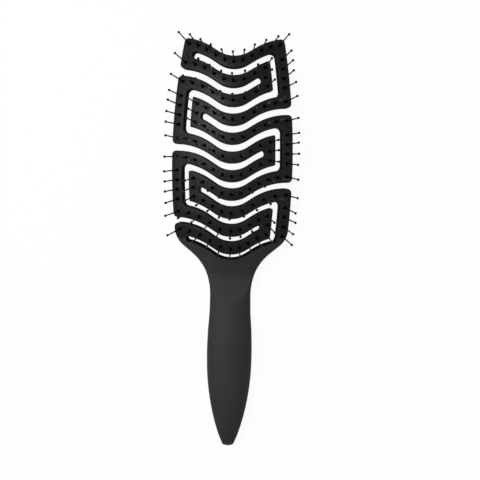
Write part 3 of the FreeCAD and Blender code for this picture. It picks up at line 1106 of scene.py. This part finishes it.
def moulded_plastic(name, dark, light, roughness, shine):
    """Bare moulded plastic with a spark-eroded grain from the mould; shine is its specular level."""
    material, tree, shader, place, _ = new_material(name, MOULDED_PATCH_MM, dark, light)
    set_values(shader, {"Roughness": roughness, "IOR": 1.5, "Specular IOR Level": shine})
    grained(tree, place, shader, size_mm=0.6, strength=0.22, depth_mm=0.06)
    return material


def nylon(name, dark, light, roughness, shine):
    """Smooth nylon with dipped ball tips, dark and glossy."""
    material, _, shader, _, _ = new_material(name, NYLON_PATCH_MM, dark, light)
    set_values(shader, {"Roughness": roughness, "IOR": 1.53, "Specular IOR Level": shine})
    return material


grip_coat = soft_touch("grip_soft_touch_coat", "#212121", "#262626", 0.60, 0.145)
# The same soft-touch coating as the grip, drawn darker: painted shade of the pins crowding the ribs
frame_coat_painted_shade = soft_touch("frame_soft_touch_coat_painted_shade", "#0d0d0d", "#131313", 0.40, 0.10)
# Bare plastic drawn darker and duller than it is: painted shade on the walls, in the pin cups and
# along the root's slot edge
shaded_bare_edge = moulded_plastic("frame_bare_edge_painted_shade", "#050505", "#090909", 0.7, 0.01)
cover_plastic = moulded_plastic("cover_moulded_plastic", "#0d0d0d", "#131313", 0.5, 0.07)
pin_nylon = nylon("pin_gloss_nylon", "#040404", "#090909", 0.14, 0.09)
print("materials:", [m.name for m in (grip_coat, frame_coat_painted_shade, shaded_bare_edge, cover_plastic, pin_nylon)])

# %% [markdown]
# ## Put the skins in place of the frame's pieces
# Each skin takes the place of the imported pieces of its section, which are hidden. The tip's skins
# and the pins ride their bodies rigidly; the other skins and the handle are baked where they lie.

# %% Ride and replace
SECTION_BODIES = ["tip_section"] + ["section_%d" % pair for pair in PAIRS]
SHARP_EDGE = math.radians(50)


def finish_piece(item, materials, slot):
    for material in materials:
        item.data.materials.append(material)
    for polygon in item.data.polygons:
        polygon.use_smooth = True
    item.data.set_sharp_from_angle(angle=SHARP_EDGE)


def bend_between(item, lower, upper, line):
    """Bakes a skin's placement into its mesh at a bending line; the skin is not bent and rides no
    body.
    """
    y = flex_y[line]
    point, along = strip_frame(y)
    middle = point - dome(side_x(y, BAR_WIDTH / 2), y)[1] * (HEAD_THICKNESS / 2)
    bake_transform(item)


def section_nodes(prefix, number):
    if number == 0:
        return [prefix + "tip"]
    return [prefix + "pair_%d" % number, prefix + "bar_%d" % number]


for layer, prefix, materials, slot in (
    (fronts, "front_frame_", [frame_coat_painted_shade, shaded_bare_edge], "frame_soft_touch"),
    (covers, "back_cover_", [cover_plastic], "cover_plastic"),
):
    for number, item in enumerate(layer):
        finish_piece(item, materials, slot)
        if number == 0:
            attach(item, SECTION_BODIES[0])
        else:
            bend_between(item, SECTION_BODIES[number], SECTION_BODIES[number - 1],
                         line_names[number - 1])
        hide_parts(*section_nodes(prefix, number))

finish_piece(handle, [grip_coat, shaded_bare_edge], "grip_soft_touch")
bend_between(handle, "grip", SECTION_BODIES[-1], line_names[-1])
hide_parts("handle")

bodies = frame["record"]["behaviour"]["bodies"]
node_body = {node: body for body, members in bodies.items() for node in members}
for node, item in pins.items():
    finish_piece(item, [pin_nylon], "bristle_nylon")
    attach(item, node_body[node])
    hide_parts(node)
print("skins:", len(fronts) + len(covers) + 1, "pin groups:", len(pins))

# %% [markdown]
# ## Table and surroundings
# The brush lies bristles up on a white table and is seen from almost straight above. The table is
# pale, and to the camera and in reflections it is lifted close to white, as in a product picture,
# while it still takes the brush's soft shadow. More light would whiten it too, but would wash out the
# black plastic. From below the table is clear, so the back of the brush can be looked at.

# %% Floor and world
FLOOR_HALF = 1500.0
FLOOR_DROP = 0.4
FLOOR_LIFT = 0.95
WORLD_LIGHT = 0.11


def background_rays(tree):
    """1 on the rays that show the background: from the camera, off a gloss or through glass."""
    rays = add_node(tree, "ShaderNodeLightPath")
    direct = add_node(tree, "ShaderNodeMath",
                      [(rays, "Is Camera Ray", 0), (rays, "Is Glossy Ray", 1)], operation="MAXIMUM")
    return add_node(tree, "ShaderNodeMath",
                    [(direct, "Value", 0), (rays, "Is Transmission Ray", 1)], operation="MAXIMUM")


floor_corners = [(-1, -1), (1, -1), (1, 1), (-1, 1)]
floor_points = [Vector((x * FLOOR_HALF, y * FLOOR_HALF, -FLOOR_DROP)) * MM for x, y in floor_corners]
floor = mesh_object("floor", floor_points, [[0, 1, 2, 3]])
paper = bpy.data.materials.new("white_table_paper")
paper.use_nodes = True
paper_tree = paper.node_tree
paper_shader = paper_tree.nodes["Principled BSDF"]
set_values(paper_shader, {"Base Color": linear("#e8e8e8"), "Roughness": 0.9})
lift = add_node(paper_tree, "ShaderNodeMath", [(background_rays(paper_tree), "Value", 0)],
                {1: FLOOR_LIFT}, operation="MULTIPLY")
glow = add_node(paper_tree, "ShaderNodeEmission", (), {"Color": linear("#ffffff"), "Strength": 1.0})
mix = add_node(paper_tree, "ShaderNodeMixShader",
               [(lift, "Value", 0), (paper_shader, "BSDF", 1), (glow, "Emission", 2)])
side_seen = add_node(paper_tree, "ShaderNodeNewGeometry")
clear = add_node(paper_tree, "ShaderNodeBsdfTransparent")
one_sided = add_node(paper_tree, "ShaderNodeMixShader",
                     [(side_seen, "Backfacing", 0), (mix, "Shader", 1), (clear, "BSDF", 2)])
surface = paper_tree.nodes["Material Output"].inputs["Surface"]
paper_tree.links.new(one_sided.outputs["Shader"], surface)
floor.data.materials.append(paper)

world = bpy.data.worlds.new("studio")
bpy.context.scene.world = world
world.use_nodes = True
world_tree = world.node_tree
background = world_tree.nodes["Background"]
background.inputs["Color"].default_value = linear("#ffffff")
world_level = add_node(world_tree, "ShaderNodeMapRange",
                       [(background_rays(world_tree), "Value", "Value")],
                       {"To Min": WORLD_LIGHT, "To Max": 1.0})
world_tree.links.new(world_level.outputs["Result"], background.inputs["Strength"])
print("floor, mm across:", 2 * FLOOR_HALF, "world light:", WORLD_LIGHT)

# %% [markdown]
# ## Lamps
# A large softbox on the left gives the broad dull highlights of the coated plastic, and a weaker one
# on the right keeps the shaded side readable. A sun lamp would be too hard for that. A third, small
# lamp is there for the thin glints on the pins.

# %% Lamps


def lamp(name, place_mm, aim_mm, size_mm, power):
    data = bpy.data.lights.new(name, "AREA")
    data.shape = "RECTANGLE"
    data.size, data.size_y = size_mm[0] * MM, size_mm[1] * MM
    data.energy = power
    item = linked(name, data)
    item.location = Vector(place_mm) * MM
    item.rotation_euler = (Vector(aim_mm) - Vector(place_mm)).to_track_quat("-Z", "Y").to_euler()
    print("lamp:", name, power, "W")


lamp("key_softbox", (-520, 220, 760), (0, 80, 10), (600, 700), 6.5)
lamp("glint_lamp", (-260, 330, 720), (0, 110, 20), (60, 60), 2.4)
lamp("fill_softbox", (560, 60, 700), (0, 80, 10), (500, 700), 1.1)

# %% [markdown]
# ## Camera
# The picture was taken from about a metre with a long lens, one or two degrees off the vertical
# towards the tip and the right, and the brush leans slightly in the frame. The camera's axes are
# worked out one by one, because a tracking turn leaves the roll open when it looks straight down.

# %% Camera
CAMERA_DISTANCE = 950.0
CAMERA_LENS = 119.4
CAMERA_TARGET = (5.4, 68.9, 12.0)
TILT_TO_TIP = math.radians(1.5)
TILT_TO_RIGHT = math.radians(1.6)
ROLL = math.radians(1.0)

camera_data = bpy.data.cameras.new("camera")
camera_data.lens = CAMERA_LENS
camera_data.sensor_width = 36.0
camera = linked("camera", camera_data)
away = Vector((math.tan(TILT_TO_RIGHT), math.tan(TILT_TO_TIP), 1)).normalized()
camera.location = (Vector(CAMERA_TARGET) + away * CAMERA_DISTANCE) * MM
rightwards = Vector((0, 1, 0)).cross(away).normalized()
axes = Matrix((rightwards, away.cross(rightwards), away)).transposed()
look = axes @ Matrix.Rotation(ROLL, 3, "Z")
camera.matrix_world = Matrix.Translation(camera.location) @ look.to_4x4()
bpy.context.scene.camera = camera
bpy.context.scene.view_settings.view_transform = "Standard"
print("camera, mm:", [round(v / MM, 1) for v in camera.location], "lens:", CAMERA_LENS)
